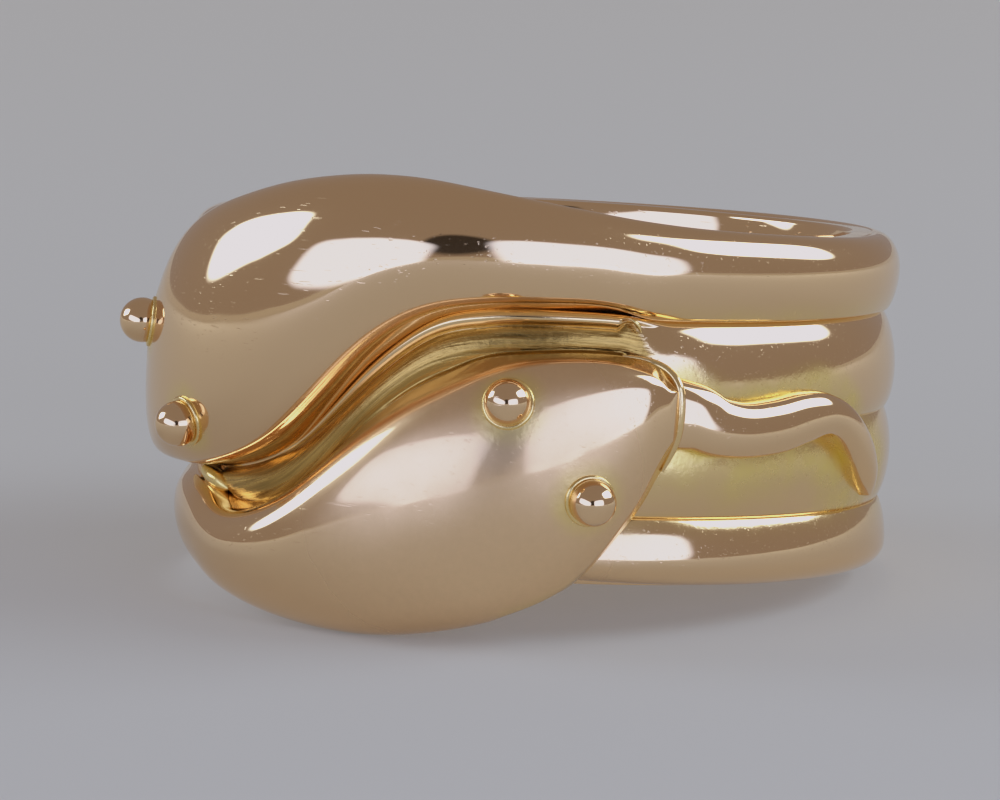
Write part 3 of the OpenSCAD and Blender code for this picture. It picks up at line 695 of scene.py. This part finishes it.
# Hand polished rose gold, about 14 carat: mirror bright, with a slow waviness from the buff, hairline
# scratches from wear, a haze of finer ones where it rubs, and yellower gold with some tarnish in the hollows
def goldMaterial(name, brushed=False):
    material, tree = newMaterial(name)
    where = addNode(tree, "ShaderNodeTexCoord").outputs["Object"]
    mm = addNode(tree, "ShaderNodeMapping", {"Scale": (1000, 1000, 1000)}, {"Vector": where}).outputs[0]
    hollow = addNode(tree, "ShaderNodeAttribute", {"attribute_name": "hollow"}).outputs["Fac"]
    rubbed = addNode(tree, "ShaderNodeAttribute", {"attribute_name": "worn"}).outputs["Fac"]
    cloud = addNode(tree, "ShaderNodeTexNoise", {"Scale": 1 / goldFinish["smudge"], "Detail": 5.0},
                    {"Vector": mm}).outputs["Fac"]
    low, high = goldFinish["tarnished"]
    patchy = addNode(tree, "ShaderNodeMapRange",
                     {"From Min": 0.3, "From Max": 0.65, "To Min": low, "To Max": high},
                     {"Value": cloud}).outputs[0]
    tarnish = addNode(tree, "ShaderNodeMath", {"operation": "MULTIPLY", "use_clamp": True},
                      {0: hollow, 1: patchy}).outputs[0]
    colour = addNode(tree, "ShaderNodeMix",
                     {"data_type": "RGBA", 6: srgb(goldFinish["rose"]), 7: srgb(goldFinish["recess"])},
                     {0: tarnish}).outputs[2]
    lines = scratchLines(tree, mm)
    low, high = goldFinish["polish"]
    smooth = addNode(tree, "ShaderNodeMapRange",
                     {"From Min": 0.3, "From Max": 0.8, "To Min": low, "To Max": high},
                     {"Value": cloud}).outputs[0]
    rough = addNode(tree, "ShaderNodeMath", {"operation": "MULTIPLY_ADD", 1: goldFinish["tarnishRough"]},
                    {0: tarnish, 2: smooth}).outputs[0]
    rough = addNode(tree, "ShaderNodeMath", {"operation": "MULTIPLY_ADD", 1: scratches["rough"]},
                    {0: lines, 2: rough}).outputs[0]
    # relief: slow waves a few thousandths of a millimetre deep, scratches, solder grain in the hollows
    waves = addNode(tree, "ShaderNodeTexNoise", {"Scale": 1 / goldFinish["wave"], "Detail": 2.0},
                    {"Vector": mm}).outputs["Fac"]
    relief = addNode(tree, "ShaderNodeBump", {"Strength": 1.0, "Distance": goldFinish["waveDepth"]},
                     {"Height": waves}).outputs[0]
    relief = addNode(tree, "ShaderNodeBump",
                     {"Strength": scratches["strength"], "Distance": scratches["depth"], "invert": True},
                     {"Height": lines, "Normal": relief}).outputs[0]
    grit = addNode(tree, "ShaderNodeTexNoise", {"Scale": 1 / goldFinish["grit"], "Detail": 3.0},
                   {"Vector": mm}).outputs["Fac"]
    gritHere = addNode(tree, "ShaderNodeMath", {"operation": "MULTIPLY"}, {0: grit, 1: tarnish}).outputs[0]
    relief = addNode(tree, "ShaderNodeBump", {"Strength": 1.0, "Distance": goldFinish["gritDepth"]},
                     {"Height": gritHere, "Normal": relief}).outputs[0]
    if brushed:
        colour, rough, relief = brushedOver(tree, colour, rough, relief)
    mirror = addNode(tree, "ShaderNodeBsdfPrincipled", {"Metallic": 1.0},
                     {"Base Color": colour, "Roughness": rough, "Normal": relief})
    haze = addNode(tree, "ShaderNodeBsdfPrincipled", {"Metallic": 1.0, "Roughness": goldFinish["haze"]},
                   {"Base Color": colour, "Normal": relief})
    share = addNode(tree, "ShaderNodeMath",
                    {"operation": "MULTIPLY_ADD", 1: hazeShare["patchy"], 2: hazeShare["rubbed"]},
                    {0: patchy}).outputs[0]
    share = addNode(tree, "ShaderNodeMath", {"operation": "MULTIPLY_ADD", 2: hazeShare["least"]},
                    {0: rubbed, 1: share}).outputs[0]
    both = addNode(tree, "ShaderNodeMixShader", None, {0: share, 1: mirror.outputs[0], 2: haze.outputs[0]})
    addNode(tree, "ShaderNodeOutputMaterial", None, {"Surface": both.outputs[0]})
    return material


polishedRoseGold = goldMaterial("polishedRoseGold")
satinYellowGold = goldMaterial("satinYellowGold", brushed=True)
standsFor = {
    upperSnake: ("upper_head", "shank"),
    lowerSnake: ("lower_head", "shank"),
    thirdRow: ("shank",),
    middleStrand: ("middle_ribbon", "shank"),
    innerBand: ("shank",),
    upperTail: ("upper_tail",),
    lowerTail: ("lower_tail",),
    lowerCollar: ("lower_head",),
    upperCollar: ("upper_head",),
    ledgeEnd: ("middle_ribbon",),
    gapEnd: ("middle_ribbon",),
    eyePieces["upperEyeFront"]: ("upper_eye_front",),
    eyePieces["upperEyeBack"]: ("upper_eye_back",),
    eyePieces["lowerEyeFront"]: ("lower_eye_front",),
    eyePieces["lowerEyeBack"]: ("lower_eye_back",),
}
for piece, nodes in standsFor.items():
    onStrand = piece in (middleStrand, ledgeEnd, gapEnd)
    piece.data.materials.clear()
    piece.data.materials.append(satinYellowGold if onStrand else polishedRoseGold)
    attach(piece, "root")
    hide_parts(*nodes)
print("materials given")

# The pale table it lies on, the dim room round it with a black card by the camera, and the soft boxes that
# the polish mirrors. Directions are in degrees round the ring, 0 at the front between the heads, and above it
table = {"colour": "#B9B8B5", "size": 2, "roughness": 0.9, "gloss": 0.1, "fill": (-0.3, 0.4, 0.26)}
room = {"wall": (0.262, 0.228, 0.222), "ground": (0.37, 0.365, 0.375), "blackCard": (30, 12),
        "cardWidth": 11, "cardEdge": (-0.006, 0.004), "cardTone": 0.12, "horizon": (-0.04, 0.0)}
bpy.ops.object.select_all(action="DESELECT")
bpy.ops.mesh.primitive_plane_add(size=table["size"])
floor = bpy.context.object
floor.name = "floor"
material, tree = newMaterial("paleTable")
place = addNode(tree, "ShaderNodeTexCoord").outputs["Object"]
apart = addNode(tree, "ShaderNodeVectorMath", {"operation": "LENGTH"}, {0: place}).outputs["Value"]
near, far, glow = table["fill"]  # the table is lit evenly further out, where the near boxes don't reach
fill = addNode(tree, "ShaderNodeMapRange", {"From Min": near, "From Max": far, "To Max": glow},
               {"Value": apart})
shader = addNode(tree, "ShaderNodeBsdfPrincipled",
                 {"Roughness": table["roughness"], "Base Color": srgb(table["colour"]),
                  "Specular IOR Level": table["gloss"], "Emission Color": (1, 1, 1, 1)},
                 {"Emission Strength": fill.outputs[0]})
addNode(tree, "ShaderNodeOutputMaterial", None, {"Surface": shader.outputs["BSDF"]})
floor.data.materials.append(material)


def towards(azimuth, elevation):
    a, e = math.radians(azimuth), math.radians(elevation)
    return Vector((math.sin(a) * math.cos(e), -math.cos(a) * math.cos(e), math.sin(e)))


def turnedTo(direction, roll):  # faces back along the direction, then rolls
    turn = direction.to_track_quat("Z", "Y").to_matrix() @ Matrix.Rotation(math.radians(roll), 3, "Z")
    return turn.to_euler()


world = bpy.data.worlds.new("room")
bpy.context.scene.world = world
world.use_nodes = True
tree = world.node_tree
tree.nodes.clear()
where = addNode(tree, "ShaderNodeTexCoord").outputs["Generated"]
facing = addNode(tree, "ShaderNodeVectorMath", {"operation": "DOT_PRODUCT", 1: towards(*room["blackCard"])},
                 {0: where}).outputs["Value"]
outer, inner = [math.cos(math.radians(room["cardWidth"])) + e for e in room["cardEdge"]]
dark = addNode(tree, "ShaderNodeMapRange",
               {"From Min": outer, "From Max": inner, "To Min": 1.0, "To Max": room["cardTone"]},
               {"Value": facing}).outputs["Result"]
height = addNode(tree, "ShaderNodeSeparateXYZ", None, {0: where}).outputs["Z"]
low, high = room["horizon"]
above = addNode(tree, "ShaderNodeMapRange", {"From Min": low, "From Max": high}, {"Value": height}).outputs[0]
colour = addNode(tree, "ShaderNodeMix",
                 {"data_type": "RGBA", 6: room["ground"] + (1.0,), 7: room["wall"] + (1.0,)}, {0: above})
air = addNode(tree, "ShaderNodeBackground", None, {"Color": colour.outputs[2], "Strength": dark})
addNode(tree, "ShaderNodeOutputWorld", None, {"Surface": air.outputs["Background"]})

# Each box's spread is its width and height as a share of its distance
softBoxes = {
    "leftBox": {"at": (-69.3, 23), "distance": 0.25, "spread": (0.66, 0.4), "roll": 33,
                "glow": (2.4, 2.8, 3.4)},
    "frontLeftBox": {"at": (-7.5, 11), "distance": 0.25, "spread": (1.27, 0.44), "roll": -11.6,
                     "glow": (1.02, 1.24, 2.1)},
    "frontRightBox": {"at": (62, 9), "distance": 0.2, "spread": (0.92, 0.52), "roll": 2,
                      "glow": (1.02, 1.24, 2.1)},
    "rightBox": {"at": (125, 33), "distance": 0.25, "spread": (1.05, 0.5), "roll": -17,
                 "glow": (2.6, 3.0, 3.6)},
}
boxCloth = {"middle": (0, 0, 0.006), "evenTo": 0.45, "cornerPower": 4.0}


def clothNodes(tree):  # the cloth of a soft box dims towards its rounded edges
    tree.nodes.clear()
    cloth = addNode(tree, "ShaderNodeNewGeometry").outputs["Parametric"]
    fromCentre = addNode(tree, "ShaderNodeVectorMath",
                         {"operation": "MULTIPLY_ADD", 1: (2, 2, 0), 2: (-1, -1, 0)}, {0: cloth}).outputs[0]
    axes = addNode(tree, "ShaderNodeSeparateXYZ", None, {0: fromCentre})
    powers = []
    for axis in ("X", "Y"):
        size = addNode(tree, "ShaderNodeMath", {"operation": "ABSOLUTE"}, {0: axes.outputs[axis]}).outputs[0]
        powers.append(addNode(tree, "ShaderNodeMath", {"operation": "POWER", 1: boxCloth["cornerPower"]},
                              {0: size}).outputs[0])
    apart = addNode(tree, "ShaderNodeMath", {"operation": "ADD"}, {0: powers[0], 1: powers[1]}).outputs[0]
    edge = addNode(tree, "ShaderNodeMapRange",
                   {"interpolation_type": "SMOOTHSTEP", "From Min": 1.0, "From Max": boxCloth["evenTo"]},
                   {"Value": apart}).outputs[0]
    glow = addNode(tree, "ShaderNodeEmission", None, {"Strength": edge})
    addNode(tree, "ShaderNodeOutputLight", None, {"Surface": glow.outputs[0]})


for name, box in softBoxes.items():
    light = bpy.data.lights.new(name, "AREA")
    light.shape = "RECTANGLE"
    light.size, light.size_y = [s * box["distance"] for s in box["spread"]]
    strength = max(box["glow"])
    light.color = [g / strength for g in box["glow"]]
    light.energy = strength * math.pi * light.size * light.size_y
    light.use_nodes = True
    clothNodes(light.node_tree)
    lamp = bpy.data.objects.new(name, light)
    direction = towards(*box["at"])
    lamp.location = direction * box["distance"] + Vector(boxCloth["middle"])
    lamp.rotation_euler = turnedTo(direction, box["roll"])
    bpy.context.collection.objects.link(lamp)
print("room lit")

# The camera at the photo's angle, a little above the table
viewer = {"azimuth": 34.171, "elevation": 10.222, "roll": 0.659, "distance": 0.2,
          "aim": (-0.000981, 0.000104, 0.005338), "lens": 230.4, "sensor": 36, "clipStart": 0.01}
away = towards(viewer["azimuth"], viewer["elevation"])
camera = bpy.data.objects.new("camera", bpy.data.cameras.new("camera"))
camera.data.lens = viewer["lens"]
camera.data.sensor_width = viewer["sensor"]
camera.data.clip_start = viewer["clipStart"]
camera.location = Vector(viewer["aim"]) + away * viewer["distance"]
camera.rotation_euler = turnedTo(away, viewer["roll"])
bpy.context.collection.objects.link(camera)
bpy.context.scene.camera = camera

# The photo's whites stop short of full white, each channel at its own level
tones = {"whites": (0.752, 0.715, 0.73), "shoulder": ((0.5, 0.485), (0.74, 0.66))}
view = bpy.context.scene.view_settings
view.view_transform = "Standard"
view.use_curve_mapping = True
for curve, white in zip(view.curve_mapping.curves, tones["whites"]):
    curve.points[0].location = (0, 0)
    curve.points[1].location = (1, white)
    for point in tones["shoulder"]:
        curve.points.new(*point)
view.curve_mapping.extend = "HORIZONTAL"
view.curve_mapping.use_clip = True
view.curve_mapping.update()

print("scene done")
